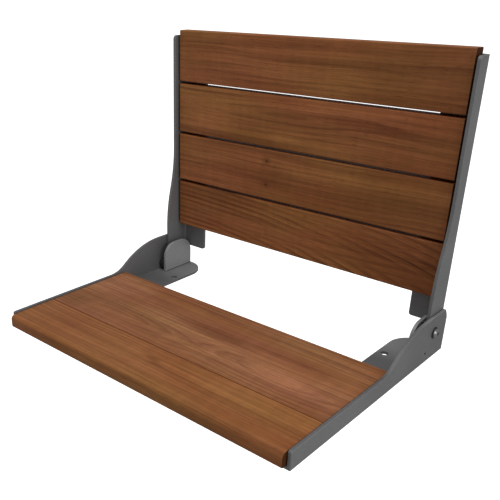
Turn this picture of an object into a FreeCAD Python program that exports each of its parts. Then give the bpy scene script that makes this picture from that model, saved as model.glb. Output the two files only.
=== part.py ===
import FreeCAD, Part
import math
import os
import Sketcher

# Fold down wall seat: two bent plate uprights with four timber back slats,
# two bent plate seat arms with hinge plates, two timber seat boards, and the
# pivots, stops and screws that join them.
#
# Frame: X along the seat (right positive), Y into the wall (the wall plane is
# y = 0 and the seat stands out towards -Y), Z up.  The origin is on the wall
# plane, midway between the uprights, at the centre of the four wall keyholes.
# Heights in the sheet are measured from the underside of the seat arms, and
# "datum" is the height of the origin above it.

os.makedirs("parts", exist_ok=True)
doc = FreeCAD.newDocument("fold_down_wall_seat")

# ---------------------------------------------------------------- dimensions
SIZES = [
    ("datum", 246.4, "height of the origin above the underside of the arms"),
    ("plate_t", 4.5, "thickness of every bent plate"),
    # uprights
    ("leg_outer", 250.0, "half width over the two upright legs"),
    ("flange_inner", 200.0, "half width between the two back flanges"),
    ("upright_top", 401.2, "top of the uprights"),
    ("leg_bottom", 8.0, "lowest point of the legs"),
    ("flange_bottom", 38.0, "bottom of the back flanges"),
    ("leg_front_top", 30.2, "depth of the legs beside the slats"),
    ("leg_front_low", 48.7, "depth of the legs at the pivot"),
    ("curve_high", 222.0, "where the front edge starts to swell"),
    ("curve_low", 80.0, "where the front edge is straight again"),
    ("leg_corner", 6.0, "radius of the front top corner"),
    ("foot_corner", 5.0, "radius of the front bottom corner"),
    ("relief_y", 8.5, "depth of the bend relief below the flange"),
    ("bend_out", 7.5, "outer bend radius of the uprights"),
    ("bend_in", 3.0, "inner bend radius of the uprights"),
    ("flange_corner", 4.0, "radius of the flange corners"),
    # wall keyholes
    ("key_x", 225.0, "half spacing of the keyholes across"),
    ("key_z", 123.6, "half spacing of the keyholes up and down"),
    ("key_entry", 7.0, "radius of the keyhole's round mouth"),
    ("key_slot", 3.5, "half width of the keyhole's slot"),
    ("key_rise", 14.0, "rise of the slot above the mouth's centre"),
    # pivot
    ("pivot_y", 39.5, "distance of the pivot axis from the wall"),
    ("pivot_high", 40.4, "height of the pivot axis"),
    ("bolt_r", 4.0, "radius of the pivot bolt"),
    ("bolt_gap", 0.05, "running clearance round the bolt"),
    ("bush_r", 6.0, "outer radius of the bushing in the leg"),
    ("seat_fit", 0.02, "radial fit of the bolt's tip and the stop's pin"),
    ("arm_bore", 4.1, "radius of the bolt hole in the arm"),
    ("head_r", 6.6, "radius of the bolt's domed head"),
    ("head_h", 4.6, "height of the bolt's domed head"),
    ("socket_af", 5.0, "hexagon socket across its flats"),
    ("socket_deep", 2.6, "depth of the hexagon socket"),
    ("washer_r", 8.5, "radius of the outer washer"),
    ("washer_t", 1.2, "thickness of the outer washer"),
    ("thrust_r", 9.0, "radius of the thrust washer and spacer"),
    ("side_gap", 1.0, "gap between leg and arm"),
    ("ring_gap", 0.05, "end play of the thrust washer and spacer"),
    # slats
    ("slat_half", 241.0, "half length of the back slats"),
    ("slat_t", 20.0, "thickness of the back slats"),
    ("slat_w", 78.6, "width of the back slats"),
    ("slat_low", 83.8, "bottom edge of the lowest slat"),
    ("slat_pitch", 82.3, "pitch of the slats"),
    ("slat_round", 2.0, "rounding of the slats' long edges"),
    ("slat_end_round", 1.0, "rounding of the slats' end edges"),
    ("key_clear_w", 17.0, "width of the recess behind a keyhole"),
    ("key_clear_up", 23.0, "recess above the keyhole's centre"),
    ("key_clear_down", 9.0, "recess below the keyhole's centre"),
    ("key_clear_deep", 7.0, "depth of the recess in the slat"),
    # slat screws
    ("screw_in_x", 210.0, "inner slat screw, half spacing"),
    ("screw_out_x", 235.0, "outer slat screw, half spacing"),
    ("screw_dz", 22.0, "slat screws above and below the slat's middle"),
    ("screw_r", 2.1, "radius of the wood screws"),
    ("screw_hole", 2.3, "radius of the screw holes in the plates"),
    ("screw_pilot", 2.15, "radius of the pilot holes in the timber"),
    ("screw_sink", 2.0, "depth of the countersink"),
    ("screw_len", 17.0, "length of the countersunk wood screws"),
    # seat arms
    ("arm_inner", 251.0, "inner face of the arm's side plate"),
    ("arm_flange_inner", 193.8, "inner edge of the arm's flange"),
    ("arm_front", 382.0, "front end of the arms"),
    ("arm_rear", 2.0, "rear edge of the arms"),
    ("arm_h", 26.7, "height of the arm beside the boards"),
    ("hub_h", 65.3, "height of the hub round the pivot"),
    ("hub_flat", 66.0, "where the top of the hub starts to fall"),
    ("hub_r", 145.0, "radius of the hub's long front curve"),
    ("hub_blend", 50.0, "radius that blends the hub into the arm"),
    ("hub_swing", 39.1, "hub's back corner, radius about the pivot"),
    ("arm_nose", 3.0, "radius of the arm's front top corner"),
    ("arm_bend_out", 1.5, "outer corner radius of the arms"),
    ("arm_bend_in", 0.5, "inner corner radius of the arms"),
    ("arm_edge", 1.2, "rounding of the arms' outer top edge"),
    ("tail_round", 38.0, "radius of the flange's back inner corner"),
    ("front_round", 45.0, "radius of the flange's front inner corner"),
    ("hole_x", 205.3, "plain hole in the flange, half spacing"),
    ("hole_y", 77.6, "plain hole in the flange, from the wall"),
    ("hole_r", 5.5, "radius of the plain hole"),
    # hinge plates
    ("ear_inner", 233.2, "inner face of the hinge plates"),
    ("ear_front", 70.2, "front edge of the hinge plates"),
    ("ear_rear", 3.6, "rear edge of the hinge plates"),
    ("ear_top", 55.0, "top of the hinge plates"),
    ("ear_curve", 25.0, "radius of the two top corners"),
    ("blind_deep", 3.4, "depth of the blind holes in the hinge plates"),
    # stop
    ("stop_y", 59.5, "stop roller from the wall"),
    ("stop_high", 15.3, "height of the stop roller's centre"),
    ("stop_r", 10.0, "radius of the stop roller"),
    ("stop_edge", 1.0, "chamfer of the stop roller"),
    ("pin_r", 3.0, "radius of the stop's slotted pin"),
    ("pin_bore", 1.6, "bore of the slotted pin"),
    ("pin_slot", 1.1, "width of the pin's slot"),
    ("pin_sunk", 0.4, "pin end below the arm's face"),
    # seat boards
    ("board_half", 249.5, "half length of the seat boards"),
    ("board_t", 20.4, "thickness of the seat boards"),
    ("board_rear", 154.0, "back edge of the rear board"),
    ("board_split", 309.3, "back board's front edge"),
    ("board_gap", 0.5, "joint between the boards"),
    ("board_front", 390.3, "front edge of the seat"),
    ("board_round", 1.5, "rounding of the boards' edges"),
    ("nose_top", 7.0, "radius of the seat's front top edge"),
    ("nose_low", 4.0, "radius of the seat's front bottom edge"),
    ("pan_r", 4.5, "radius of the pan heads"),
    ("pan_h", 2.8, "height of the pan heads"),
    ("pan_len", 20.0, "length of the pan head screws"),
    ("pan_x_in", 212.0, "inner seat screws, half spacing"),
    ("pan_x_out", 238.0, "outer seat screws, half spacing"),
    ("pan_y_1", 186.0, "first screw of the rear board"),
    ("pan_y_2", 237.0, "second screw of the rear board"),
    ("pan_y_3", 288.0, "third screw of the rear board"),
    ("pan_y_4", 334.0, "first screw of the front board"),
    ("pan_y_5", 362.0, "second screw of the front board"),
]

sheet = doc.addObject("Spreadsheet::Sheet", "Dims")
for i, (alias, value, note) in enumerate(SIZES):
    row = i + 1
    sheet.set("A%d" % row, alias)
    sheet.set("B%d" % row, repr(value))
    sheet.set("C%d" % row, note)
    sheet.setAlias("B%d" % row, alias)
doc.recompute()


class Size:
    """A number together with the sheet expression that gives it."""

    def __init__(self, v, e):
        self.v = float(v)
        self.e = e

    def __add__(self, o):
        o = lift(o)
        return Size(self.v + o.v, "(%s + %s)" % (self.e, o.e))

    def __radd__(self, o):
        return lift(o) + self

    def __sub__(self, o):
        o = lift(o)
        return Size(self.v - o.v, "(%s - %s)" % (self.e, o.e))

    def __rsub__(self, o):
        return lift(o) - self

    def __mul__(self, o):
        o = lift(o)
        return Size(self.v * o.v, "(%s * %s)" % (self.e, o.e))

    def __rmul__(self, o):
        return lift(o) * self

    def __truediv__(self, o):
        o = lift(o)
        return Size(self.v / o.v, "(%s / %s)" % (self.e, o.e))

    def __neg__(self):
        return Size(-self.v, "(-1 * %s)" % self.e)


def lift(o):
    if isinstance(o, Size):
        return o
    return Size(o, "(%s)" % repr(float(o)))


def root(o):
    return Size(math.sqrt(o.v), "sqrt(%s)" % o.e)


def S(alias):
    return Size(sheet.get(alias), "Dims.%s" % alias)


datum = S("datum")
plate = S("plate_t")


def high(o):
    """Height above the arms' underside, turned into a height in this frame."""
    return lift(o) - datum


# ------------------------------------------------------------------- helpers
def new_body(name):
    body = doc.addObject("PartDesign::Body", name)
    body.Label = name
    if hasattr(body, "AllowCompound"):
        body.AllowCompound = True
    return body


def origin_plane(body, role):
    for f in body.Origin.OriginFeatures:
        if f.Role == role:
            return f
    raise RuntimeError("no plane " + role)


def new_sketch(body, name, role, shift=None, offset=None):
    """A sketch on an origin plane, moved along its normal by shift."""
    sk = body.newObject("Sketcher::SketchObject", name)
    sk.AttachmentSupport = [(origin_plane(body, role), "")]
    sk.MapMode = "FlatFace"
    bx, by = (0.0, 0.0) if offset is None else (offset[0].v, offset[1].v)
    bz = 0.0 if shift is None else shift.v
    sk.AttachmentOffset = FreeCAD.Placement(FreeCAD.Vector(bx, by, bz), FreeCAD.Rotation())
    if offset is not None:
        sk.setExpression("AttachmentOffset.Base.x", offset[0].e)
        sk.setExpression("AttachmentOffset.Base.y", offset[1].e)
    if shift is not None:
        sk.setExpression("AttachmentOffset.Base.z", shift.e)
    return sk


def bind(sk, index, size):
    sk.setExpression("Constraints[%d]" % index, size.e)


def pin_point(sk, geo, pos, x, y):
    x, y = lift(x), lift(y)
    if abs(x.v) < 1e-9:
        sk.addConstraint(Sketcher.Constraint("PointOnObject", geo, pos, -2))
    else:
        bind(sk, sk.addConstraint(Sketcher.Constraint("DistanceX", -1, 1, geo, pos, x.v)), x)
    if abs(y.v) < 1e-9:
        sk.addConstraint(Sketcher.Constraint("PointOnObject", geo, pos, -1))
    else:
        bind(sk, sk.addConstraint(Sketcher.Constraint("DistanceY", -1, 1, geo, pos, y.v)), y)


def profile(sk, points, arcs=None):
    """Closed profile through points; arcs[i] = (centre, radius) for edge i."""
    arcs = arcs or {}
    n = len(points)
    pts = [(lift(a), lift(b)) for a, b in points]
    ends = []
    for i in range(n):
        a, b = pts[i], pts[(i + 1) % n]
        va = FreeCAD.Vector(a[0].v, a[1].v, 0)
        vb = FreeCAD.Vector(b[0].v, b[1].v, 0)
        if i in arcs:
            (cx, cy), rad = arcs[i]
            cx, cy = lift(cx), lift(cy)
            circle = Part.Circle(FreeCAD.Vector(cx.v, cy.v, 0), FreeCAD.Vector(0, 0, 1), rad.v)
            a0 = math.atan2(va.y - cy.v, va.x - cx.v)
            a1 = math.atan2(vb.y - cy.v, vb.x - cx.v)
            turn = (a1 - a0) % (2 * math.pi)
            if turn <= math.pi:
                geo = sk.addGeometry(Part.ArcOfCircle(circle, a0, a0 + turn), False)
                ends.append((geo, 1, 2))
            else:
                geo = sk.addGeometry(Part.ArcOfCircle(circle, a1, a1 + 2 * math.pi - turn), False)
                ends.append((geo, 2, 1))
        else:
            geo = sk.addGeometry(Part.LineSegment(va, vb), False)
            ends.append((geo, 1, 2))
    for i in range(n):
        g, s0, s1 = ends[i]
        g2, t0, t1 = ends[(i + 1) % n]
        sk.addConstraint(Sketcher.Constraint("Coincident", g, s1, g2, t0))
    for i in range(n):
        g, s0, s1 = ends[i]
        pin_point(sk, g, s0, pts[i][0], pts[i][1])
        if i in arcs:
            rad = arcs[i][1]
            bind(sk, sk.addConstraint(Sketcher.Constraint("Radius", g, rad.v)), rad)


def circles(sk, items):
    for x, y, rad in items:
        x, y = lift(x), lift(y)
        geo = sk.addGeometry(Part.Circle(FreeCAD.Vector(x.v, y.v, 0), FreeCAD.Vector(0, 0, 1), rad.v), False)
        pin_point(sk, geo, 3, x, y)
        bind(sk, sk.addConstraint(Sketcher.Constraint("Radius", geo, rad.v)), rad)


def rectangle(sk, x0, x1, y0, y1):
    profile(sk, [(x0, y0), (x1, y0), (x1, y1), (x0, y1)])


def pad(body, sk, name, length, reverse=False, middle=False):
    f = body.newObject("PartDesign::Pad", name)
    f.Profile = sk
    f.Length = length.v
    f.setExpression("Length", length.e)
    if middle:
        f.SideType = "Symmetric" if hasattr(f, "SideType") else f.SideType
    f.Reversed = reverse
    doc.recompute()
    return f


def pocket(body, sk, name, depth, reverse=False, through=False):
    before = body.Shape.Volume
    f = body.newObject("PartDesign::Pocket", name)
    f.Profile = sk
    if through:
        f.Type = "ThroughAll"
    else:
        f.Length = depth.v
        f.setExpression("Length", depth.e)
    f.Reversed = reverse
    doc.recompute()
    if not body.Shape.Volume < before - 1e-3:
        raise RuntimeError("%s of %s cut nothing" % (name, body.Label))
    return f


def revolve(body, sk, name, axis):
    f = body.newObject("PartDesign::Revolution", name)
    f.Profile = sk
    f.ReferenceAxis = (sk, [axis])
    f.Angle = 360.0
    doc.recompute()
    return f


def edges_where(shape, test):
    out = []
    for i, e in enumerate(shape.Edges):
        if test(e):
            out.append("Edge%d" % (i + 1))
    return out


def dress(body, kind, name, size, test, expect=None):
    """A fillet or chamfer on the edges of the tip that pass the test."""
    tip = body.Tip
    names = edges_where(tip.Shape, test)
    if not names or (expect is not None and len(names) != expect):
        raise RuntimeError("%s of %s found %d edges" % (name, body.Label, len(names)))
    f = body.newObject("PartDesign::" + kind, name)
    f.Base = (tip, names)
    prop = "Radius" if kind == "Fillet" else "Size"
    setattr(f, prop, size.v)
    f.setExpression(prop, size.e)
    doc.recompute()
    return f


def straight_along(e, axis, length=None):
    if e.Curve.TypeId != "Part::GeomLine":
        return False
    a, b = e.Vertexes[0].Point, e.Vertexes[-1].Point
    d = b - a
    comp = [abs(d.x), abs(d.y), abs(d.z)]
    k = "XYZ".index(axis)
    return comp[k] > 0.999 * d.Length and (length is None or abs(d.Length - length) < 0.5)


def at(e, **where):
    c = e.CenterOfMass
    for key, val in where.items():
        if abs(getattr(c, key) - val) > 0.02:
            return False
    return True


def whole_at(e, axis, value, tol=0.01):
    b = e.BoundBox
    lo, hi = getattr(b, axis + "Min"), getattr(b, axis + "Max")
    return abs(lo - value) < tol and abs(hi - value) < tol


nodes = []


def done(obj):
    nodes.append(obj)
    return obj


# ----------------------------------------------------------- derived heights
z_top = high(S("upright_top"))
z_foot = high(S("leg_bottom"))
z_flange = high(S("flange_bottom"))
z_pivot = high(S("pivot_high"))
y_pivot = -S("pivot_y")
SIDES = (("left", -1), ("right", 1))


def slat_mid(k):
    """Middle height of slat k, counted from the lowest."""
    return high(S("slat_low") + S("slat_w") / 2 + S("slat_pitch") * k)


# ------------------------------------------------------------------ uprights
# One bent plate a side: a leg that stands out from the wall, swelling towards
# the pivot, and a flange flat on the wall behind the slats.
for side, s in SIDES:
    name = side + "_upright"
    body = new_body(name)
    yf, yl = S("leg_front_top"), S("leg_front_low")
    z1, z2 = high(S("curve_high")), high(S("curve_low"))
    half_h = (S("curve_high") - S("curve_low")) / 2
    half_o = (yl - yf) / 2
    swell = (half_h * half_h + half_o * half_o) / (half_o * 2)
    rc, rf, rel = S("leg_corner"), S("foot_corner"), S("relief_y")
    sk = new_sketch(body, name + "_leg_sketch", "YZ_Plane", (S("leg_outer") - plate) * s)
    profile(sk, [
        (0, z_top),
        (rc - yf, z_top),
        (-yf, z_top - rc),
        (-yf, z1),
        ((yf + yl) / -2, (z1 + z2) / 2),
        (-yl, z2),
        (-yl, z_foot + rf),
        (rf - yl, z_foot),
        (-rel, z_foot),
        (-rel, z_flange),
        (0, z_flange),
    ], {
        1: ((rc - yf, z_top - rc), rc),
        3: ((-yf - swell, z1), swell),
        4: ((swell - yl, z2), swell),
        6: ((rf - yl, z_foot + rf), rf),
    })
    pad(body, sk, name + "_leg", plate, reverse=(s < 0))
    sk = new_sketch(body, name + "_flange_sketch", "XZ_Plane")
    fc = S("flange_corner")
    xi, xo = S("flange_inner"), S("leg_outer")
    profile(sk, [
        (xo * s, z_flange),
        ((xi + fc) * s, z_flange),
        (xi * s, z_flange + fc),
        (xi * s, z_top - fc),
        ((xi + fc) * s, z_top),
        (xo * s, z_top),
    ], {
        1: (((xi + fc) * s, z_flange + fc), fc),
        3: (((xi + fc) * s, z_top - fc), fc),
    })
    pad(body, sk, name + "_flange", plate)
    dress(body, "Fillet", name + "_bend_out", S("bend_out"),
          lambda e: straight_along(e, "Z") and at(e, x=250.0 * s, y=0.0) and e.Length > 300, 1)
    dress(body, "Fillet", name + "_bend_in", S("bend_in"),
          lambda e: straight_along(e, "Z") and at(e, x=245.5 * s, y=-4.5) and e.Length > 300, 1)
    # wall keyholes: round mouths, with slots that rise from them
    kx, kz, kr, kh, ku = S("key_x"), S("key_z"), S("key_entry"), S("key_slot"), S("key_rise")
    sk = new_sketch(body, name + "_keyhole_sketch", "XZ_Plane")
    circles(sk, [(kx * s, kz, kr), (kx * s, kz + ku, kh), (kx * s, -kz, kr), (kx * s, ku - kz, kh)])
    pocket(body, sk, name + "_keyhole_mouths", plate, reverse=True)
    sk = new_sketch(body, name + "_slot_sketch", "XZ_Plane")
    rectangle(sk, kx * s - kh, kx * s + kh, kz, kz + ku)
    rectangle(sk, kx * s - kh, kx * s + kh, -kz, ku - kz)
    pocket(body, sk, name + "_keyhole_slots", plate, reverse=True)
    # countersunk screw holes, two to each slat
    sk = new_sketch(body, name + "_screw_sketch", "XZ_Plane")
    items = []
    for k in range(4):
        items.append((S("screw_in_x") * s, slat_mid(k) + S("screw_dz"), S("screw_hole")))
        items.append((S("screw_out_x") * s, slat_mid(k) - S("screw_dz"), S("screw_hole")))
    circles(sk, items)
    pocket(body, sk, name + "_screw_holes", plate, reverse=True)
    dress(body, "Chamfer", name + "_countersinks", S("screw_sink"),
          lambda e: e.Curve.TypeId == "Part::GeomCircle" and abs(e.Curve.Radius - 2.3) < 1e-3
          and whole_at(e, "Y", 0.0), 8)
    # hole for the bushing
    sk = new_sketch(body, name + "_bush_sketch", "YZ_Plane", (S("leg_outer") - plate) * s)
    circles(sk, [(y_pivot, z_pivot, S("bush_r"))])
    pocket(body, sk, name + "_bush_hole", plate, reverse=(s > 0))
    done(body)

# --------------------------------------------------------------- back slats
for k in range(4):
    name = "back_slat_%d" % (k + 1)
    body = new_body(name)
    y0, y1 = -plate, -(plate + S("slat_t"))
    zl = high(S("slat_low") + S("slat_pitch") * k)
    zh = zl + S("slat_w")
    r = S("slat_round")
    sk = new_sketch(body, name + "_section", "YZ_Plane", -S("slat_half"))
    profile(sk, [
        (y0, zl + r), (y0, zh - r), (y0 - r, zh), (y1 + r, zh),
        (y1, zh - r), (y1, zl + r), (y1 + r, zl), (y0 - r, zl),
    ], {
        1: ((y0 - r, zh - r), r),
        3: ((y1 + r, zh - r), r),
        5: ((y1 + r, zl + r), r),
        7: ((y0 - r, zl + r), r),
    })
    pad(body, sk, name + "_length", S("slat_half") * 2)
    dress(body, "Fillet", name + "_end_edges", S("slat_end_round"),
          lambda e: whole_at(e, "X", 241.0) or whole_at(e, "X", -241.0))
    if k in (0, 3):
        sk = new_sketch(body, name + "_recess_sketch", "XZ_Plane", plate)
        hw = S("key_clear_w") / 2
        kz = S("key_z") * (1 if k == 3 else -1)
        for s in (-1, 1):
            rectangle(sk, S("key_x") * s - hw, S("key_x") * s + hw,
                      kz - S("key_clear_down"), kz + S("key_clear_up"))
        pocket(body, sk, name + "_recesses", S("key_clear_deep"), reverse=True)
    sk = new_sketch(body, name + "_pilot_sketch", "XZ_Plane", plate)
    items = []
    for s in (-1, 1):
        items.append((S("screw_in_x") * s, slat_mid(k) + S("screw_dz"), S("screw_pilot")))
        items.append((S("screw_out_x") * s, slat_mid(k) - S("screw_dz"), S("screw_pilot")))
    circles(sk, items)
    pocket(body, sk, name + "_pilots", S("screw_len") - plate + 0.6, reverse=True)
    done(body)

# -------------------------------------------------------------- slat screws
# Countersunk wood screws, driven from behind through the flanges.  Each body
# turns one screw and repeats it up the slats and across to the other side.
for tag, xs, dz in (("inner", S("screw_in_x"), S("screw_dz")), ("outer", S("screw_out_x"), -S("screw_dz"))):
    name = "back_slat_screws_" + tag
    body = new_body(name)
    sk = new_sketch(body, name + "_section", "XY_Plane", slat_mid(0) + dz, (xs, lift(-0.25)))
    rs, ln = S("screw_r"), S("screw_len")
    rh = S("screw_hole") + S("screw_sink") - 0.4
    profile(sk, [
        (0, 0), (rh, 0), (rh, -0.1), (rs, rs - rh - 0.1), (rs, 2.5 - ln), (0, -ln),
    ])
    f = revolve(body, sk, name + "_turned", "V_Axis")
    multi = body.newObject("PartDesign::MultiTransform", name + "_set")
    multi.Originals = [f]
    up = body.newObject("PartDesign::LinearPattern", name + "_up")
    across = body.newObject("PartDesign::Mirrored", name + "_across")
    up.Direction = (origin_plane(body, "Z_Axis"), [""])
    up.Length = (S("slat_pitch") * 3).v
    up.setExpression("Length", (S("slat_pitch") * 3).e)
    up.Occurrences = 4
    across.MirrorPlane = (origin_plane(body, "YZ_Plane"), [""])
    multi.Transformations = [up, across]
    body.Tip = multi
    doc.recompute()
    done(body)

# ------------------------------------------------------------ pivot bushings
for side, s in SIDES:
    name = side + "_pivot_bushing"
    body = new_body(name)
    sk = new_sketch(body, name + "_ring", "YZ_Plane", (S("leg_outer") - plate) * s)
    circles(sk, [(y_pivot, z_pivot, S("bush_r")), (y_pivot, z_pivot, S("bolt_r") + S("bolt_gap"))])
    pad(body, sk, name + "_length", plate, reverse=(s < 0))
    done(body)

# ----------------------------------------------------------------- seat arms
# One bent plate a side: a side plate that stands up beside the boards and
# rises into the hub round the pivot, and a flange that carries the boards.
for side, s in SIDES:
    name = side + "_seat_arm"
    body = new_body(name)
    zb = high(0)
    za = high(S("arm_h"))
    zh = high(S("hub_h"))
    yr, yfr = -S("arm_rear"), -S("arm_front")
    yh = -S("hub_flat")
    R, b, nose = S("hub_r"), S("hub_blend"), S("arm_nose")
    # centre of the hub curve, and of the blend that is tangent to it
    zc = zh - R
    rise = za + b - zc
    run = root((R + b) * (R + b) - rise * rise)
    yb = yh - run
    # point where curve and blend meet
    ym = yh - run * R / (R + b)
    zm = zc + rise * R / (R + b)
    # back corner, an arc about the pivot
    sw = S("hub_swing")
    z_start = z_pivot + root(sw * sw - (yr - y_pivot) * (yr - y_pivot))
    y_end = y_pivot + root(sw * sw - (zh - z_pivot) * (zh - z_pivot))
    sk = new_sketch(body, name + "_side_sketch", "YZ_Plane", S("arm_inner") * s)
    profile(sk, [
        (yr, zb),
        (yr, z_start),
        (y_end, zh),
        (yh, zh),
        (ym, zm),
        (yb, za),
        (yfr + nose, za),
        (yfr, za - nose),
        (yfr, zb),
    ], {
        1: ((y_pivot, z_pivot), sw),
        3: ((yh, zc), R),
        4: ((yb, za + b), b),
        6: ((yfr + nose, za - nose), nose),
    })
    pad(body, sk, name + "_side", plate, reverse=(s < 0))
    xo = S("arm_inner") + plate
    xi = S("arm_flange_inner")
    tr, fr = S("tail_round"), S("front_round")
    sk = new_sketch(body, name + "_flange_sketch", "XY_Plane", zb)
    profile(sk, [
        (xo * s, yr),
        ((xi + tr) * s, yr),
        (xi * s, yr - tr),
        (xi * s, yfr + fr),
        ((xi + fr) * s, yfr),
        (xo * s, yfr),
    ], {
        1: (((xi + tr) * s, yr - tr), tr),
        3: (((xi + fr) * s, yfr + fr), fr),
    })
    pad(body, sk, name + "_flange", plate)
    dress(body, "Fillet", name + "_bend_in", S("arm_bend_in"),
          lambda e: straight_along(e, "Y") and e.Length > 300
          and abs(abs(e.CenterOfMass.x) - 251.0) < 0.01 and abs(e.CenterOfMass.z - (4.5 - 246.4)) < 0.01, 1)
    dress(body, "Fillet", name + "_bend_out", S("arm_bend_out"),
          lambda e: straight_along(e, "Y") and e.Length > 300
          and abs(abs(e.CenterOfMass.x) - 255.5) < 0.01 and abs(e.CenterOfMass.z + 246.4) < 0.01, 1)
    dress(body, "Fillet", name + "_outer_edge", S("arm_edge"),
          lambda e: (whole_at(e, "X", 255.5) or whole_at(e, "X", -255.5))
          and not straight_along(e, "Z") and e.CenterOfMass.z > -240.0, 6)
    # holes for the pivot bolt and the stop's pin
    sk = new_sketch(body, name + "_pivot_sketch", "YZ_Plane", S("arm_inner") * s)
    circles(sk, [(y_pivot, z_pivot, S("arm_bore")),
                 (-S("stop_y"), high(S("stop_high")), S("pin_r") + S("seat_fit"))])
    pocket(body, sk, name + "_pivot_holes", plate, reverse=(s > 0))
    # plain hole near the back, and the screw holes under the boards
    sk = new_sketch(body, name + "_hole_sketch", "XY_Plane", zb)
    circles(sk, [
        (S("hole_x") * s, -S("hole_y"), S("hole_r")),
        (S("pan_x_in") * s, -S("pan_y_1"), S("screw_hole")),
        (S("pan_x_out") * s, -S("pan_y_2"), S("screw_hole")),
        (S("pan_x_in") * s, -S("pan_y_3"), S("screw_hole")),
        (S("pan_x_out") * s, -S("pan_y_4"), S("screw_hole")),
        (S("pan_x_out") * s, -S("pan_y_5"), S("screw_hole")),
    ])
    pocket(body, sk, name + "_flange_holes", plate, reverse=True)
    done(body)

# -------------------------------------------------------------- hinge plates
# Inner plate of each clevis, standing on the arm's flange.
for side, s in SIDES:
    name = side + "_hinge_plate"
    body = new_body(name)
    y0, y1 = -S("ear_rear"), -S("ear_front")
    z0, z1 = high(plate), high(S("ear_top"))
    cr = S("ear_curve")
    sk = new_sketch(body, name + "_sketch", "YZ_Plane", S("ear_inner") * s)
    profile(sk, [
        (y0, z0), (y0, z1 - cr), (y0 - cr, z1), (y1 + cr, z1), (y1, z1 - cr), (y1, z0),
    ], {
        1: ((y0 - cr, z1 - cr), cr),
        3: ((y1 + cr, z1 - cr), cr),
    })
    pad(body, sk, name + "_plate", plate, reverse=(s < 0))
    sk = new_sketch(body, name + "_blind_sketch", "YZ_Plane", (S("ear_inner") + plate) * s)
    circles(sk, [(y_pivot, z_pivot, S("bolt_r") + S("seat_fit")),
                 (-S("stop_y"), high(S("stop_high")), S("pin_r") + S("seat_fit"))])
    pocket(body, sk, name + "_blind_holes", S("blind_deep"), reverse=(s < 0))
    done(body)

# --------------------------------------------------------------- seat boards
for tag in ("rear", "front"):
    name = tag + "_seat_board"
    body = new_body(name)
    zb, zt = high(plate), high(plate + S("board_t"))
    r = S("board_round")
    if tag == "rear":
        yb, yf = -S("board_rear"), -S("board_split")
        rt = rl = r
    else:
        yb, yf = -(S("board_split") + S("board_gap")), -S("board_front")
        rt, rl = S("nose_top"), S("nose_low")
    sk = new_sketch(body, name + "_section", "YZ_Plane", -S("board_half"))
    profile(sk, [
        (yb, zb + r), (yb, zt - r), (yb - r, zt), (yf + rt, zt),
        (yf, zt - rt), (yf, zb + rl), (yf + rl, zb), (yb - r, zb),
    ], {
        1: ((yb - r, zt - r), r),
        3: ((yf + rt, zt - rt), rt),
        5: ((yf + rl, zb + rl), rl),
        7: ((yb - r, zb + r), r),
    })
    pad(body, sk, name + "_length", S("board_half") * 2)
    dress(body, "Fillet", name + "_end_edges", S("board_round") * 0.8,
          lambda e: whole_at(e, "X", 249.5) or whole_at(e, "X", -249.5))
    sk = new_sketch(body, name + "_pilot_sketch", "XY_Plane", zb)
    if tag == "rear":
        spots = [(S("pan_x_in"), S("pan_y_1")), (S("pan_x_out"), S("pan_y_2")), (S("pan_x_in"), S("pan_y_3"))]
    else:
        spots = [(S("pan_x_out"), S("pan_y_4")), (S("pan_x_out"), S("pan_y_5"))]
    circles(sk, [(x * s, -y, S("screw_pilot")) for x, y in spots for s in (-1, 1)])
    pocket(body, sk, name + "_pilots", S("pan_len") - plate + 0.6, reverse=True)
    done(body)

# -------------------------------------------------------- seat board screws
for side, s in SIDES:
    name = side + "_seat_screws"
    body = new_body(name)
    rs, ln, pr, ph = S("screw_r"), S("pan_len"), S("pan_r"), S("pan_h")
    first = True
    for j, (x, y) in enumerate([(S("pan_x_in"), S("pan_y_1")), (S("pan_x_out"), S("pan_y_2")),
                                (S("pan_x_in"), S("pan_y_3")), (S("pan_x_out"), S("pan_y_4")),
                                (S("pan_x_out"), S("pan_y_5"))]):
        # the section stands in the plane y = -y, turned about a vertical axis
        sk = new_sketch(body, "%s_section_%d" % (name, j + 1), "XZ_Plane", y, (x * s, high(0)))
        profile(sk, [
            (0, -ph), (pr - 1.4, -ph), (pr, 1.4 - ph), (pr, 0), (rs, 0), (rs, ln - 2.5), (0, ln),
        ], {
            1: ((pr - 1.4, 1.4 - ph), lift(1.4)),
        })
        revolve(body, sk, "%s_turned_%d" % (name, j + 1), "V_Axis")
    done(body)

# -------------------------------------------------------------- pivot bolts
for side, s in SIDES:
    name = side + "_pivot_bolt"
    body = new_body(name)
    x_face = S("arm_inner") + plate + S("washer_t")
    x_tip = S("ear_inner") + plate - S("blind_deep") + 0.2
    hr, hh, br = S("head_r"), S("head_h"), S("bolt_r")
    # the dome is a circle through the head's rim and its crown
    drop = hh - 1.0
    dome = (hr * hr + drop * drop) / (drop * 2)
    sk = new_sketch(body, name + "_section", "XY_Plane", z_pivot, (lift(0), y_pivot))
    profile(sk, [
        (x_tip * s, 0), (x_tip * s, br - 0.8), ((x_tip + 0.8) * s, br), (x_face * s, br), (x_face * s, hr),
        ((x_face + 1.0) * s, hr), ((x_face + hh) * s, 0),
    ], {
        5: (((x_face + hh - dome) * s, 0), dome),
    })
    revolve(body, sk, name + "_turned", "H_Axis")
    # hexagon socket in the crown
    sk = new_sketch(body, name + "_socket_sketch", "YZ_Plane", (x_face + hh) * s)
    half = S("socket_af") / 2
    c = half * 2 / math.sqrt(3.0)
    pts = [(y_pivot, z_pivot + c), (y_pivot - half, z_pivot + c / 2), (y_pivot - half, z_pivot - c / 2),
           (y_pivot, z_pivot - c), (y_pivot + half, z_pivot - c / 2), (y_pivot + half, z_pivot + c / 2)]
    profile(sk, pts)
    pocket(body, sk, name + "_socket", S("socket_deep"), reverse=(s < 0))
    done(body)

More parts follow.
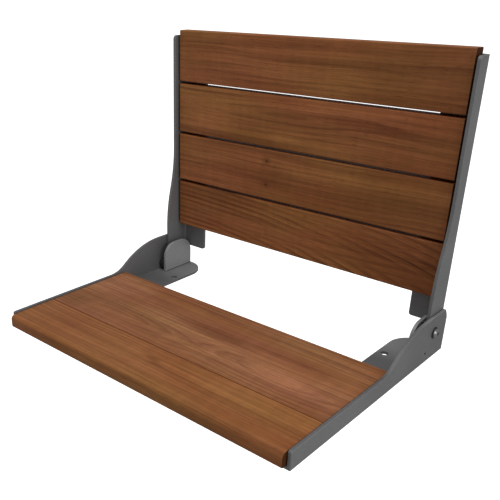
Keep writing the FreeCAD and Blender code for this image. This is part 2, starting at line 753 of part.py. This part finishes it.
# ------------------------------------------------- washers, spacers, rollers
for side, s in SIDES:
    for tag, x0, length, outer in (
        ("pivot_washer", S("arm_inner") + plate, S("washer_t"), S("washer_r")),
        ("thrust_washer", S("leg_outer") + S("ring_gap"), S("side_gap") - S("ring_gap") * 2, S("thrust_r")),
        ("pivot_spacer", S("ear_inner") + plate + S("ring_gap"),
         S("leg_outer") - S("ear_inner") - plate * 2 - S("ring_gap") * 2, S("thrust_r")),
    ):
        name = side + "_" + tag
        body = new_body(name)
        sk = new_sketch(body, name + "_ring", "YZ_Plane", x0 * s)
        circles(sk, [(y_pivot, z_pivot, outer), (y_pivot, z_pivot, S("arm_bore"))])
        pad(body, sk, name + "_length", length, reverse=(s < 0))
        if tag == "pivot_washer":
            dress(body, "Fillet", name + "_rim", lift(0.4),
                  lambda e: whole_at(e, "X", 256.7 * s) and abs(e.Curve.Radius - 8.5) < 0.01, 1)
        done(body)
    # stop roller, on a slotted pin between the arm and its hinge plate
    name = side + "_stop_roller"
    body = new_body(name)
    x0 = S("ear_inner") + plate + 0.1
    x1 = S("arm_inner") - 0.3
    sk = new_sketch(body, name + "_ring", "YZ_Plane", x0 * s)
    circles(sk, [(-S("stop_y"), high(S("stop_high")), S("stop_r")),
                 (-S("stop_y"), high(S("stop_high")), S("pin_r") + S("bolt_gap"))])
    pad(body, sk, name + "_length", x1 - x0, reverse=(s < 0))
    dress(body, "Chamfer", name + "_rims", S("stop_edge"),
          lambda e: e.Curve.TypeId == "Part::GeomCircle" and abs(e.Curve.Radius - 10.0) < 0.01, 2)
    done(body)
    name = side + "_stop_pin"
    body = new_body(name)
    x0 = S("ear_inner") + plate - S("blind_deep") + 0.2
    x1 = S("arm_inner") + plate - S("pin_sunk")
    sk = new_sketch(body, name + "_ring", "YZ_Plane", x0 * s)
    circles(sk, [(-S("stop_y"), high(S("stop_high")), S("pin_r")),
                 (-S("stop_y"), high(S("stop_high")), S("pin_bore"))])
    pad(body, sk, name + "_length", x1 - x0, reverse=(s < 0))
    sk = new_sketch(body, name + "_slot_sketch", "YZ_Plane", x0 * s)
    hw = S("pin_slot") / 2
    rectangle(sk, -S("stop_y") - S("pin_r") - 1.0, -S("stop_y"),
              high(S("stop_high")) - hw, high(S("stop_high")) + hw)
    pocket(body, sk, name + "_slot", x1 - x0, reverse=(s > 0))
    done(body)

# ------------------------------------------------------------------- output
doc.recompute()
problems = []
for obj in doc.Objects:
    state = [str(x) for x in obj.State]
    if "Invalid" in state or "Error" in state:
        problems.append("%s: %s" % (obj.Name, ", ".join(state)))
for obj in nodes:
    shape = obj.Shape
    if shape.isNull() or not shape.isValid() or not shape.Solids:
        problems.append("%s has no valid solid" % obj.Label)
if problems:
    raise RuntimeError("; ".join(problems))

for obj in nodes:
    obj.Shape.exportStep("parts/%s.step" % obj.Label)
    bb = obj.Shape.BoundBox
    print("%-26s solids %2d  volume %10.1f  x %8.2f %8.2f  y %8.2f %8.2f  z %8.2f %8.2f" % (
        obj.Label, len(obj.Shape.Solids), obj.Shape.Volume,
        bb.XMin, bb.XMax, bb.YMin, bb.YMax, bb.ZMin, bb.ZMax))
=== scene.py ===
import math

import bpy
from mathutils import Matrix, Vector


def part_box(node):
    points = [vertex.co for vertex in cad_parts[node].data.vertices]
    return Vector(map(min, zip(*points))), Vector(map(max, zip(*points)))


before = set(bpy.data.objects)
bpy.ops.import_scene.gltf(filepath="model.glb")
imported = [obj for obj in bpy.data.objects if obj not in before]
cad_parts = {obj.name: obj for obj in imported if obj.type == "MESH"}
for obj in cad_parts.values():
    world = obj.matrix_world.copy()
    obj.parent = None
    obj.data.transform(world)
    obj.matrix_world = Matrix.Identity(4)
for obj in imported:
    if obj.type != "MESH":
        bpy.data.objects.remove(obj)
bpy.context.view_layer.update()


# ------------------------------------------------------------- node helpers
def new_material(name):
    mat = bpy.data.materials.new(name)
    mat.use_nodes = True
    nt = mat.node_tree
    for n in list(nt.nodes):
        nt.nodes.remove(n)
    out = nt.nodes.new("ShaderNodeOutputMaterial")
    bsdf = nt.nodes.new("ShaderNodeBsdfPrincipled")
    nt.links.new(bsdf.outputs["BSDF"], out.inputs["Surface"])
    return mat, nt, bsdf


def put(nt, socket, value):
    """Sets a socket from a number, a colour or another node's output."""
    if isinstance(value, bpy.types.NodeSocket):
        nt.links.new(value, socket)
    elif isinstance(value, (tuple, list)) and len(value) == 3 and len(socket.default_value) == 4:
        socket.default_value = (*value, 1.0)
    else:
        socket.default_value = value


def math_node(nt, op, a, b=None, c=None, clamp=False):
    n = nt.nodes.new("ShaderNodeMath")
    n.operation = op
    n.use_clamp = clamp
    put(nt, n.inputs[0], a)
    if b is not None:
        put(nt, n.inputs[1], b)
    if c is not None:
        put(nt, n.inputs[2], c)
    return n.outputs[0]


def ramp(nt, value, lo, hi, out_lo=0.0, out_hi=1.0, smooth=True):
    n = nt.nodes.new("ShaderNodeMapRange")
    n.interpolation_type = "SMOOTHSTEP" if smooth else "LINEAR"
    n.clamp = True
    put(nt, n.inputs["Value"], value)
    n.inputs["From Min"].default_value = lo
    n.inputs["From Max"].default_value = hi
    n.inputs["To Min"].default_value = out_lo
    n.inputs["To Max"].default_value = out_hi
    return n.outputs[0]


def mix_colour(nt, fac, a, b, kind="MIX"):
    n = nt.nodes.new("ShaderNodeMix")
    n.data_type = "RGBA"
    n.blend_type = kind
    n.clamp_factor = True
    put(nt, n.inputs[0], fac)
    put(nt, n.inputs[6], a)
    put(nt, n.inputs[7], b)
    return n.outputs[2]


def combine(nt, x, y, z):
    n = nt.nodes.new("ShaderNodeCombineXYZ")
    put(nt, n.inputs[0], x)
    put(nt, n.inputs[1], y)
    put(nt, n.inputs[2], z)
    return n.outputs[0]


def noise(nt, vector, scale, detail=3.0, rough=0.5, distort=0.0):
    n = nt.nodes.new("ShaderNodeTexNoise")
    n.noise_dimensions = "3D"
    put(nt, n.inputs["Vector"], vector)
    n.inputs["Scale"].default_value = scale
    n.inputs["Detail"].default_value = detail
    n.inputs["Roughness"].default_value = rough
    n.inputs["Distortion"].default_value = distort
    return n.outputs["Fac"]


def object_xyz(nt):
    tc = nt.nodes.new("ShaderNodeTexCoord")
    sep = nt.nodes.new("ShaderNodeSeparateXYZ")
    nt.links.new(tc.outputs["Object"], sep.inputs[0])
    return tc.outputs["Object"], sep.outputs[0], sep.outputs[1], sep.outputs[2]


def bump(nt, height, strength, distance, normal=None):
    n = nt.nodes.new("ShaderNodeBump")
    n.inputs["Strength"].default_value = strength
    n.inputs["Distance"].default_value = distance
    nt.links.new(height, n.inputs["Height"])
    if normal is not None:
        nt.links.new(normal, n.inputs["Normal"])
    return n.outputs["Normal"]


def shade(c, k, g=1.0):
    return (c[0] * k, c[1] * k * g, c[2] * k * g)


# ------------------------------------------------------------------- timber
def timber(name, across, centre, seed, figures, base, dark, light, ring=0.0065,
           ring_depth=0.55, knots=(), slope=0.0, gloss=0.46, gap_axis=None, gap_sides=(), gap_from=0.66, gap_shade_depth=0.70,
           bands=0.45, patches=(), shade_to_right=0.0, front_face_shade=0.0):
    """Plain sawn oiled hardwood with its grain along X.

    across names the axis over the board's width ("Y" or "Z") and centre is
    the board's middle on it.  figures are places where the board's face comes
    nearest to the heart of the tree: (along, over, closeness, stretch), which
    draw the nested ovals and arches.  knots are (along, over, radius) and
    patches are soft spots of light or dark: (along, over, half length, half
    width, strength).  gap_sides names the long edges that look into a joint,
    which get painted shade there.  nose is the amount of painted shade on the
    faces that look to the front, and fade that of painted shade over the
    boards towards the right.
    """
    mat, nt, bsdf = new_material(name)
    vec, x, y, z = object_xyz(nt)
    over = math_node(nt, "SUBTRACT", y if across == "Y" else z, centre)
    deep = z if across == "Y" else y

    def grain(kx, ko, off, detail=3.0, rough=0.55, o=None):
        """Noise drawn out along the board: kx and ko are its pitches per metre."""
        return noise(nt, combine(nt, math_node(nt, "MULTIPLY_ADD", x, kx, seed * off),
                                 math_node(nt, "MULTIPLY", over if o is None else o, ko),
                                 math_node(nt, "MULTIPLY", deep, ko)), 1.0, detail, rough)

    # slow wander of the grain, and its local unevenness
    slow = grain(2.6, 7.0, 3.7, 2.0, 0.5)
    wander = math_node(nt, "MULTIPLY", math_node(nt, "SUBTRACT", slow, 0.5), 0.020)
    over_w = math_node(nt, "ADD", math_node(nt, "MULTIPLY_ADD", x, slope, over), wander)
    uneven = grain(9.0, 70.0, 1.3, 3.0, 0.55)
    # distance from the heart, the least of the figures'
    field = None
    for along, o, close, stretch in figures:
        dx = math_node(nt, "MULTIPLY", math_node(nt, "SUBTRACT", x, along), stretch)
        dy = math_node(nt, "SUBTRACT", over_w, o)
        q = math_node(nt, "ADD", math_node(nt, "MULTIPLY", dx, dx), math_node(nt, "MULTIPLY", dy, dy))
        q = math_node(nt, "SQRT", math_node(nt, "ADD", q, close * close))
        if field is None:
            field = q
        else:
            n = nt.nodes.new("ShaderNodeMath")
            n.operation = "SMOOTH_MIN"
            nt.links.new(field, n.inputs[0])
            nt.links.new(q, n.inputs[1])
            n.inputs[2].default_value = 0.010
            field = n.outputs[0]
    field = math_node(nt, "ADD", field, math_node(nt, "MULTIPLY", math_node(nt, "SUBTRACT", uneven, 0.5), 0.0030))
    # growth rings: a slow rise and a quick fall, of uneven strength and pitch
    frac = math_node(nt, "FRACT", math_node(nt, "DIVIDE", field, ring))
    rings = math_node(nt, "MULTIPLY", ramp(nt, frac, 0.20, 0.86), ramp(nt, frac, 0.88, 1.0, 1.0, 0.0))
    frac2 = math_node(nt, "FRACT", math_node(nt, "ADD", math_node(nt, "DIVIDE", field, ring * 0.41), 0.4))
    rings2 = math_node(nt, "MULTIPLY", ramp(nt, frac2, 0.1, 0.75), ramp(nt, frac2, 0.78, 1.0, 1.0, 0.0))
    vary = noise(nt, combine(nt, math_node(nt, "MULTIPLY_ADD", x, 2.6, seed),
                             math_node(nt, "MULTIPLY_ADD", over, 30.0, seed * 0.7), 0.0), 1.0, 2.0, 0.5)
    strong = ramp(nt, vary, 0.32, 0.70, 0.12, 1.0)
    rings = math_node(nt, "MULTIPLY", math_node(nt, "MULTIPLY_ADD", rings2, 0.40, rings), strong)
    # straight bands, streaks, fibres and pores, from broad to fine
    band = grain(1.1, 62.0, 2.9, 2.0, 0.5, over_w)
    streak = grain(3.2, 190.0, 2.1, 3.0, 0.6, over_w)
    hair = grain(9.0, 520.0, 4.3, 3.0, 0.65, over_w)
    fibre = grain(30.0, 1100.0, 1.0, 3.0, 0.6, over_w)
    pores = grain(70.0, 1500.0, 5.0, 1.0, 0.5, over_w)
    pore = ramp(nt, pores, 0.64, 0.73)
    blotch = noise(nt, combine(nt, math_node(nt, "MULTIPLY_ADD", x, 5.0, seed * 4.0),
                               math_node(nt, "MULTIPLY", over, 16.0), deep), 1.0, 3.0, 0.5, 0.4)
    # a light cross figure, as on a board planed against the grain
    cross = noise(nt, combine(nt, math_node(nt, "MULTIPLY_ADD", x, 75.0, seed * 8.0),
                              math_node(nt, "MULTIPLY", over, 13.0), 0.0), 1.0, 2.0, 0.5, 0.3)
    # colours
    col = mix_colour(nt, ramp(nt, blotch, 0.28, 0.72), base, light)
    col = mix_colour(nt, math_node(nt, "MULTIPLY", ramp(nt, band, 0.36, 0.70), bands), col, dark)
    col = mix_colour(nt, math_node(nt, "MULTIPLY", ramp(nt, streak, 0.42, 0.74), 0.42), col, dark)
    col = mix_colour(nt, math_node(nt, "MULTIPLY", rings, ring_depth), col, dark)
    for along, o, half, wide, much in patches:
        dx = math_node(nt, "MULTIPLY", math_node(nt, "SUBTRACT", x, along), 1.0 / half)
        dy = math_node(nt, "MULTIPLY", math_node(nt, "SUBTRACT", over_w, o), 1.0 / wide)
        d = math_node(nt, "SQRT", math_node(nt, "ADD", math_node(nt, "MULTIPLY", dx, dx), math_node(nt, "MULTIPLY", dy, dy)))
        d = math_node(nt, "ADD", d, math_node(nt, "MULTIPLY", math_node(nt, "SUBTRACT", uneven, 0.5), 0.9))
        col = mix_colour(nt, ramp(nt, d, 0.25, 1.15, abs(much), 0.0), col, dark if much > 0 else shade(light, 1.15))
    red = noise(nt, combine(nt, math_node(nt, "MULTIPLY_ADD", x, 4.0, seed * 6.0),
                            math_node(nt, "MULTIPLY", over, 14.0), 1.0), 1.0, 2.0, 0.5)
    tint = nt.nodes.new("ShaderNodeHueSaturation")
    nt.links.new(ramp(nt, red, 0.3, 0.7, 0.491, 0.507, smooth=False), tint.inputs["Hue"])
    tint.inputs["Saturation"].default_value = 1.0
    value = math_node(nt, "MULTIPLY", ramp(nt, hair, 0.30, 0.72, 1.13, 0.84, smooth=False),
                      ramp(nt, fibre, 0.3, 0.7, 0.90, 1.09, smooth=False))
    value = math_node(nt, "MULTIPLY", value, ramp(nt, cross, 0.32, 0.70, 0.96, 1.04))
    # painted shade: the boards darken towards the right
    if shade_to_right:
        value = math_node(nt, "MULTIPLY", value, ramp(nt, x, 0.0, 0.24, 1.0, 1.0 - shade_to_right))
    nt.links.new(value, tint.inputs["Value"])
    nt.links.new(col, tint.inputs["Color"])
    col = tint.outputs[0]
    col = mix_colour(nt, math_node(nt, "MULTIPLY", pore, 0.50), col, shade(dark, 0.35))
    for along, o, rad in knots:
        dx = math_node(nt, "MULTIPLY", math_node(nt, "SUBTRACT", x, along), 0.8)
        dy = math_node(nt, "SUBTRACT", over, o)
        d = math_node(nt, "SQRT", math_node(nt, "ADD", math_node(nt, "MULTIPLY", dx, dx), math_node(nt, "MULTIPLY", dy, dy)))
        d = math_node(nt, "ADD", d, math_node(nt, "MULTIPLY", math_node(nt, "SUBTRACT", uneven, 0.5), rad * 0.8))
        col = mix_colour(nt, ramp(nt, d, rad * 1.2, rad * 5.5, 0.45, 0.0), col, dark)
        col = mix_colour(nt, ramp(nt, d, rad * 0.5, rad * 1.4, 0.75, 0.0), col, shade(dark, 0.45))
    # end grain drinks more oil and is darker
    geo = nt.nodes.new("ShaderNodeNewGeometry")
    sep = nt.nodes.new("ShaderNodeSeparateXYZ")
    nt.links.new(geo.outputs["True Normal"], sep.inputs[0])
    endf = ramp(nt, math_node(nt, "ABSOLUTE", sep.outputs[0]), 0.45, 0.9)
    ends = noise(nt, vec, 900.0, 3.0, 0.6)
    end_col = mix_colour(nt, ramp(nt, ends, 0.35, 0.65), shade(dark, 0.34), shade(dark, 0.72))
    col = mix_colour(nt, endf, col, end_col)
    # painted shade on the faces that look to the front
    if front_face_shade:
        front = ramp(nt, math_node(nt, "MULTIPLY", sep.outputs[1], -1.0), 0.25, 0.80, 0.0, front_face_shade)
        col = mix_colour(nt, front, col, dark)
    # painted shade on the faces inside the joints between the boards
    if gap_axis is not None:
        n_gap = sep.outputs["XYZ".index(gap_axis)]
        for side in gap_sides:
            gap_shade = ramp(nt, math_node(nt, "MULTIPLY", n_gap, float(side)), gap_from, 0.97, 0.0, gap_shade_depth)
            col = mix_colour(nt, gap_shade, col, (dark[0] * 1.25, dark[1] * 0.85, dark[2] * 0.35))
    nt.links.new(col, bsdf.inputs["Base Color"])
    r = math_node(nt, "MULTIPLY_ADD", fibre, 0.14, gloss - 0.07)
    r = math_node(nt, "MULTIPLY_ADD", rings, 0.06, r)
    r = math_node(nt, "MULTIPLY_ADD", blotch, 0.08, r)
    r = math_node(nt, "MULTIPLY_ADD", endf, 0.25, r, clamp=True)
    nt.links.new(r, bsdf.inputs["Roughness"])
    bsdf.inputs["Specular IOR Level"].default_value = 0.14
    h = math_node(nt, "MULTIPLY_ADD", fibre, 0.5, math_node(nt, "MULTIPLY", pore, -1.3))
    h = math_node(nt, "MULTIPLY_ADD", hair, -0.5, h)
    h = math_node(nt, "MULTIPLY_ADD", rings, -0.6, h)
    nt.links.new(bump(nt, h, 0.28, 0.00025), bsdf.inputs["Normal"])
    return mat


# ------------------------------------------------------------- powder coat
def powder_coat(name, colour, seed=0.0, rough=0.42, contact_shade_z=None, rear_painted_light=False):
    """Fine textured satin powder coat with a trace of metallic flake.

    foot is the height of the plate's bottom edge on the flange, just above
    which a thin painted shade line darkens the coat.
    rear paints shade onto the side plates towards the pivot and a painted
    highlight onto the flange's back end, whose front is painted a little darker.
    """
    mat, nt, bsdf = new_material(name)
    vec, x, y, z = object_xyz(nt)
    grain = noise(nt, vec, 1500.0, 2.0, 0.6)
    peel = noise(nt, vec, 330.0, 2.0, 0.5)
    soft = noise(nt, vec, 9.0 + seed, 3.0, 0.5)
    scuff = noise(nt, combine(nt, math_node(nt, "MULTIPLY", x, 60.0), math_node(nt, "MULTIPLY", y, 60.0),
                              math_node(nt, "MULTIPLY", z, 60.0)), 1.0, 4.0, 0.65, 1.2)
    dark = tuple(c * 0.90 for c in colour)
    light = tuple(c * 1.09 for c in colour)
    col = mix_colour(nt, ramp(nt, soft, 0.3, 0.7), dark, light)
    fleck = ramp(nt, grain, 0.60, 0.72)
    col = mix_colour(nt, math_node(nt, "MULTIPLY", fleck, 0.35), col, tuple(min(1.0, c * 1.7) for c in colour))
    # edges painted lighter: partly rubbed wear, partly a painted highlight along the rims
    geo = nt.nodes.new("ShaderNodeNewGeometry")
    bev = nt.nodes.new("ShaderNodeBevel")
    bev.samples = 4
    bev.inputs["Radius"].default_value = 0.0014
    dot = nt.nodes.new("ShaderNodeVectorMath")
    dot.operation = "DOT_PRODUCT"
    nt.links.new(bev.outputs[0], dot.inputs[0])
    nt.links.new(geo.outputs["Normal"], dot.inputs[1])
    edge = ramp(nt, dot.outputs["Value"], 0.90, 0.995, 1.0, 0.0)
    wear_and_highlight = math_node(nt, "MULTIPLY", edge, ramp(nt, scuff, 0.36, 0.60, 0.35, 1.0))
    col = mix_colour(nt, math_node(nt, "MULTIPLY", wear_and_highlight, 0.75), col, tuple(min(1.0, c * 1.9) for c in colour))
    value = ramp(nt, peel, 0.30, 0.70, 0.945, 1.055)
    # painted light: painted shade darkens the side plates towards the pivot, a painted highlight makes the flange's
    # back end paler
    if rear_painted_light:
        sep = nt.nodes.new("ShaderNodeSeparateXYZ")
        nt.links.new(geo.outputs["True Normal"], sep.inputs[0])
        flat = ramp(nt, math_node(nt, "ABSOLUTE", sep.outputs[2]), 0.6, 0.9)
        # painted shade on the side plates, darker towards the pivot
        side = ramp(nt, y, -0.155, -0.075, 1.0, 0.82)
        # painted highlight on the flat flange faces, paler towards their back end and darker at their front
        top = ramp(nt, y, -0.105, -0.040, 0.80, 1.50)
        part = math_node(nt, "MULTIPLY_ADD", flat, math_node(nt, "SUBTRACT", top, side), side)
        value = math_node(nt, "MULTIPLY", value, part)
    tint = nt.nodes.new("ShaderNodeHueSaturation")
    nt.links.new(value, tint.inputs["Value"])
    nt.links.new(col, tint.inputs["Color"])
    col = tint.outputs[0]
    # a thin painted shade line just above the plate's bottom edge, where it stands on the flange
    if contact_shade_z is not None:
        contact_shade = ramp(nt, z, contact_shade_z + 0.0006, contact_shade_z + 0.0017, 0.92, 0.0)
        col = mix_colour(nt, contact_shade, col, shade(colour, 0.12))
    nt.links.new(col, bsdf.inputs["Base Color"])
    bsdf.inputs["Metallic"].default_value = 0.0
    bsdf.inputs["Specular IOR Level"].default_value = 0.5
    r = math_node(nt, "MULTIPLY_ADD", soft, 0.10, rough - 0.05)
    r = math_node(nt, "MULTIPLY_ADD", ramp(nt, scuff, 0.55, 0.8), 0.08, r, clamp=True)
    nt.links.new(r, bsdf.inputs["Roughness"])
    h = math_node(nt, "MULTIPLY_ADD", peel, 0.8, math_node(nt, "MULTIPLY", grain, 0.35))
    nt.links.new(bump(nt, h, 0.22, 0.00012, bev.outputs[0]), bsdf.inputs["Normal"])
    return mat


# ---------------------------------------------------------------- fastenings
def turned_steel(name, colour, rough=0.22):
    mat, nt, bsdf = new_material(name)
    vec, x, y, z = object_xyz(nt)
    fine = noise(nt, vec, 2600.0, 2.0, 0.6)
    soft = noise(nt, vec, 160.0, 3.0, 0.6, 0.6)
    col = mix_colour(nt, ramp(nt, soft, 0.3, 0.7), tuple(c * 0.82 for c in colour), colour)
    col = mix_colour(nt, math_node(nt, "MULTIPLY", ramp(nt, soft, 0.62, 0.75), 0.35), col, (0.16, 0.13, 0.10))
    nt.links.new(col, bsdf.inputs["Base Color"])
    bsdf.inputs["Metallic"].default_value = 1.0
    r = math_node(nt, "MULTIPLY_ADD", fine, 0.12, rough - 0.04)
    r = math_node(nt, "MULTIPLY_ADD", soft, 0.12, r, clamp=True)
    nt.links.new(r, bsdf.inputs["Roughness"])
    nt.links.new(bump(nt, fine, 0.12, 0.00006), bsdf.inputs["Normal"])
    return mat


def rolled_pin(name, colour, y0, z0, bore, rim):
    """A rolled spring pin seen on its end: bright rim, with painted shade in the bore and a painted shadow ring round
    the fit.
    """
    mat = turned_steel(name, colour, 0.30)
    nt = mat.node_tree
    bsdf = next(n for n in nt.nodes if n.type == "BSDF_PRINCIPLED")
    vec, x, y, z = object_xyz(nt)
    dy = math_node(nt, "SUBTRACT", y, y0)
    dz = math_node(nt, "SUBTRACT", z, z0)
    d = math_node(nt, "SQRT", math_node(nt, "ADD", math_node(nt, "MULTIPLY", dy, dy), math_node(nt, "MULTIPLY", dz, dz)))
    bore_shade = ramp(nt, d, bore * 1.02, bore * 1.12, 1.0, 0.0)
    fit_shadow = ramp(nt, d, rim * 0.74, rim * 0.80)
    link = bsdf.inputs["Base Color"].links[0]
    old = link.from_socket
    # the bore and the ring round the fit are painted near black: painted shade
    nt.links.new(mix_colour(nt, math_node(nt, "MAXIMUM", bore_shade, fit_shadow), old, (0.012, 0.012, 0.012)), bsdf.inputs["Base Color"])
    return mat


def moulded(name, colour, rough=0.5):
    mat, nt, bsdf = new_material(name)
    vec, x, y, z = object_xyz(nt)
    fine = noise(nt, vec, 900.0, 3.0, 0.6)
    soft = noise(nt, vec, 60.0, 3.0, 0.5)
    col = mix_colour(nt, ramp(nt, soft, 0.3, 0.7), tuple(c * 0.8 for c in colour), tuple(c * 1.2 for c in colour))
    nt.links.new(col, bsdf.inputs["Base Color"])
    bsdf.inputs["Specular IOR Level"].default_value = 0.4
    r = math_node(nt, "MULTIPLY_ADD", soft, 0.15, rough - 0.06)
    r = math_node(nt, "MULTIPLY_ADD", fine, 0.08, r, clamp=True)
    nt.links.new(r, bsdf.inputs["Roughness"])
    nt.links.new(bump(nt, fine, 0.25, 0.0001), bsdf.inputs["Normal"])
    return mat


def dress(node, mat):
    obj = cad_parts[node] if not isinstance(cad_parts[node], str) else bpy.data.objects[node]
    if not obj.data.materials:
        obj.data.materials.append(mat)
    for i in range(len(obj.material_slots)):
        obj.material_slots[i].material = mat


# ---------------------------------------------------------------- the boards
BASE = (0.372, 0.137, 0.043)
DARK = (0.135, 0.042, 0.014)
LIGHT = (0.462, 0.188, 0.064)


def mid(node, axis):
    lo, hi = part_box(node)
    return (lo[axis] + hi[axis]) / 2


Z, Y = 2, 1
slat_figures = {
    "back_slat_4": dict(
        seed=1.0, figures=[(0.05, -0.085, 0.030, 0.07)], ring=0.0062, ring_depth=0.30, bands=0.36, slope=0.010,
        gap_sides=(-1,), patches=[(0.19, 0.0, 0.10, 0.050, 0.22), (0.00, 0.030, 0.05, 0.010, 0.22)]),
    "back_slat_3": dict(
        seed=2.0, figures=[(-0.02, 0.012, 0.006, 0.060), (0.34, 0.004, 0.010, 0.05)], ring=0.0066, ring_depth=0.46,
        bands=0.34, gap_sides=(-1, 1),
        patches=[(0.035, 0.016, 0.13, 0.007, 0.42), (-0.03, -0.021, 0.035, 0.009, -0.45), (-0.17, 0.0, 0.07, 0.030, -0.35)]),
    "back_slat_2": dict(
        seed=3.0, figures=[(0.30, -0.090, 0.020, 0.08)], ring=0.0070, ring_depth=0.30, bands=0.34, gap_sides=(-1, 1),
        knots=[(-0.055, 0.021, 0.0017), (-0.055, -0.016, 0.0016)],
        patches=[(-0.035, 0.002, 0.045, 0.020, 0.26), (0.17, -0.01, 0.12, 0.03, 0.16)]),
    "back_slat_1": dict(
        seed=4.0, figures=[(-0.27, -0.105, 0.010, 0.24)], ring=0.0078, ring_depth=0.72, bands=0.24, gap_sides=(-1, 1),
        patches=[(0.18, 0.0, 0.12, 0.045, 0.25)]),
}
for node, kw in slat_figures.items():
    dress(node, timber("oiled_timber_" + node, "Z", mid(node, Z), base=BASE, dark=DARK, light=LIGHT,
                       gap_axis="Z", shade_to_right=0.10, **kw))
dress("rear_seat_board", timber(
    "oiled_timber_rear_seat_board", "Y", mid("rear_seat_board", Y), seed=5.0,
    figures=[(0.150, -0.034, 0.003, 0.20), (-0.150, -0.042, 0.003, 0.16), (0.0, 0.150, 0.010, 0.05)],
    base=(0.385, 0.149, 0.057), dark=(0.160, 0.053, 0.020), light=(0.500, 0.226, 0.104), ring=0.0068, ring_depth=0.40,
    bands=0.34, gap_axis="Y", gap_sides=(-1,), gap_from=0.30,
    patches=[(0.150, -0.030, 0.060, 0.020, -0.62), (0.012, 0.006, 0.105, 0.016, 0.62), (0.13, 0.016, 0.07, 0.006, 0.35), (-0.235, -0.050, 0.05, 0.030, 0.45),
             (0.02, 0.055, 0.20, 0.012, 0.22)]))
dress("front_seat_board", timber(
    "oiled_timber_front_seat_board", "Y", mid("front_seat_board", Y), seed=6.0,
    figures=[(0.02, -0.110, 0.020, 0.08)],
    base=(0.382, 0.142, 0.045), dark=(0.158, 0.051, 0.016), light=(0.470, 0.192, 0.068), ring=0.0068, ring_depth=0.34,
    front_face_shade=0.22, bands=0.32, gap_axis="Y", gap_sides=(1,), gap_from=0.30,
    patches=[(0.00, 0.012, 0.016, 0.006, 0.55), (0.015, 0.004, 0.020, 0.004, 0.45), (0.14, -0.01, 0.12, 0.012, 0.22)]))

# ------------------------------------------------------------------ the metal
COAT = (0.180, 0.181, 0.184)
frame_coat = powder_coat("powder_coat_frame", COAT)
# the arms' coat carries the painted shade and painted highlight of the rear switch
arm_coat = powder_coat("powder_coat_arms", COAT, seed=2.0, rear_painted_light=True)
# the hinge plates get a copy of the frame's coat painted almost twice as light: painted light for plates that catch
# more light
hinge_coat_painted_lighter = powder_coat("powder_coat_hinge_plates", shade(COAT, 1.95), seed=3.0, rough=0.36,
                         contact_shade_z=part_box("left_hinge_plate")[0][2])
steel = turned_steel("turned_stainless", (0.40, 0.392, 0.38), 0.26)
pin_lo, pin_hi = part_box("right_stop_pin")
pin_steel = rolled_pin("spring_pin_steel", (0.80, 0.79, 0.77), -0.0595, (pin_lo[2] + pin_hi[2]) / 2, 0.0016, 0.0030)
screw_steel = turned_steel("screw_stainless", (0.52, 0.51, 0.50), 0.3)
nylon = moulded("bearing_plastic", (0.020, 0.020, 0.021))
rubber = moulded("stop_rubber", (0.030, 0.030, 0.031), 0.42)

for node in ("left_upright", "right_upright"):
    dress(node, frame_coat)
for node in ("left_seat_arm", "right_seat_arm"):
    dress(node, arm_coat)
for node in ("left_hinge_plate", "right_hinge_plate"):
    dress(node, hinge_coat_painted_lighter)
for side in ("left", "right"):
    dress(side + "_pivot_bolt", steel)
    dress(side + "_pivot_washer", nylon)
    dress(side + "_stop_pin", pin_steel)
    dress(side + "_seat_screws", screw_steel)
    dress(side + "_pivot_bushing", nylon)
    dress(side + "_thrust_washer", nylon)
    dress(side + "_pivot_spacer", nylon)
    dress(side + "_stop_roller", rubber)
dress("back_slat_screws_inner", screw_steel)
dress("back_slat_screws_outer", screw_steel)

# ---------------------------------------------------------- stage and lights
floor_z = -0.75
mesh = bpy.data.meshes.new("floor")
s = 150.0
mesh.from_pydata([(-s, -s, floor_z), (s, -s, floor_z), (s, s, floor_z), (-s, s, floor_z)], [], [(0, 1, 2, 3)])
floor = bpy.data.objects.new("floor", mesh)
bpy.context.scene.collection.objects.link(floor)
mat, nt, bsdf = new_material("floor_white")
bsdf.inputs["Base Color"].default_value = (0.9, 0.9, 0.9, 1.0)
bsdf.inputs["Roughness"].default_value = 0.9
bsdf.inputs["Specular IOR Level"].default_value = 0.0
bsdf.inputs["Emission Color"].default_value = (1.0, 1.0, 1.0, 1.0)
bsdf.inputs["Emission Strength"].default_value = 1.0
mat.cycles.emission_sampling = "NONE"
floor.data.materials.append(mat)
floor.visible_diffuse = False
floor.visible_glossy = False

WORLD = 0.33
world = bpy.data.worlds.new("studio")
world.use_nodes = True
bg = world.node_tree.nodes["Background"]
bg.inputs["Color"].default_value = (1.0, 1.0, 1.0, 1.0)
bg.inputs["Strength"].default_value = WORLD
bpy.context.scene.world = world


def soft_light(name, loc, target, size, power, colour=(1.0, 1.0, 1.0)):
    data = bpy.data.lights.new(name, "AREA")
    data.shape = "RECTANGLE"
    data.size, data.size_y = size
    data.energy = power
    data.color = colour
    obj = bpy.data.objects.new(name, data)
    obj.location = loc
    obj.rotation_mode = "QUATERNION"
    obj.rotation_quaternion = (Vector(target) - Vector(loc)).to_track_quat("-Z", "Y")
    bpy.context.scene.collection.objects.link(obj)
    return obj


soft_light("top", (0.1, -0.35, 1.7), (0.0, -0.2, -0.2), (1.8, 1.4), 15.4)
soft_light("right", (1.9, -0.5, 0.3), (0.0, -0.2, -0.1), (1.2, 1.2), 9.0)

# --------------------------------------------------------------------- camera
cam_data = bpy.data.cameras.new("camera")
cam_data.sensor_width = 36.0
cam_data.lens = 688.8 / 500.0 * 36.0
cam_data.shift_x = (250.0 - 180.5) / 500.0
cam_data.shift_y = (311.0 - 250.0) / 500.0
cam_data.clip_start, cam_data.clip_end = 0.05, 1000.0
cam = bpy.data.objects.new("camera", cam_data)
bpy.context.scene.collection.objects.link(cam)
az, el = math.radians(42.94), math.radians(25.60)
back = Vector((math.sin(az) * math.cos(el), -math.cos(az) * math.cos(el), math.sin(el)))
cam.location = (0.5760, -0.9007, 0.2340)
cam.rotation_mode = "QUATERNION"
cam.rotation_quaternion = (-back).to_track_quat("-Z", "Y")
bpy.context.scene.camera = cam
bpy.context.scene.view_settings.view_transform = "Standard"
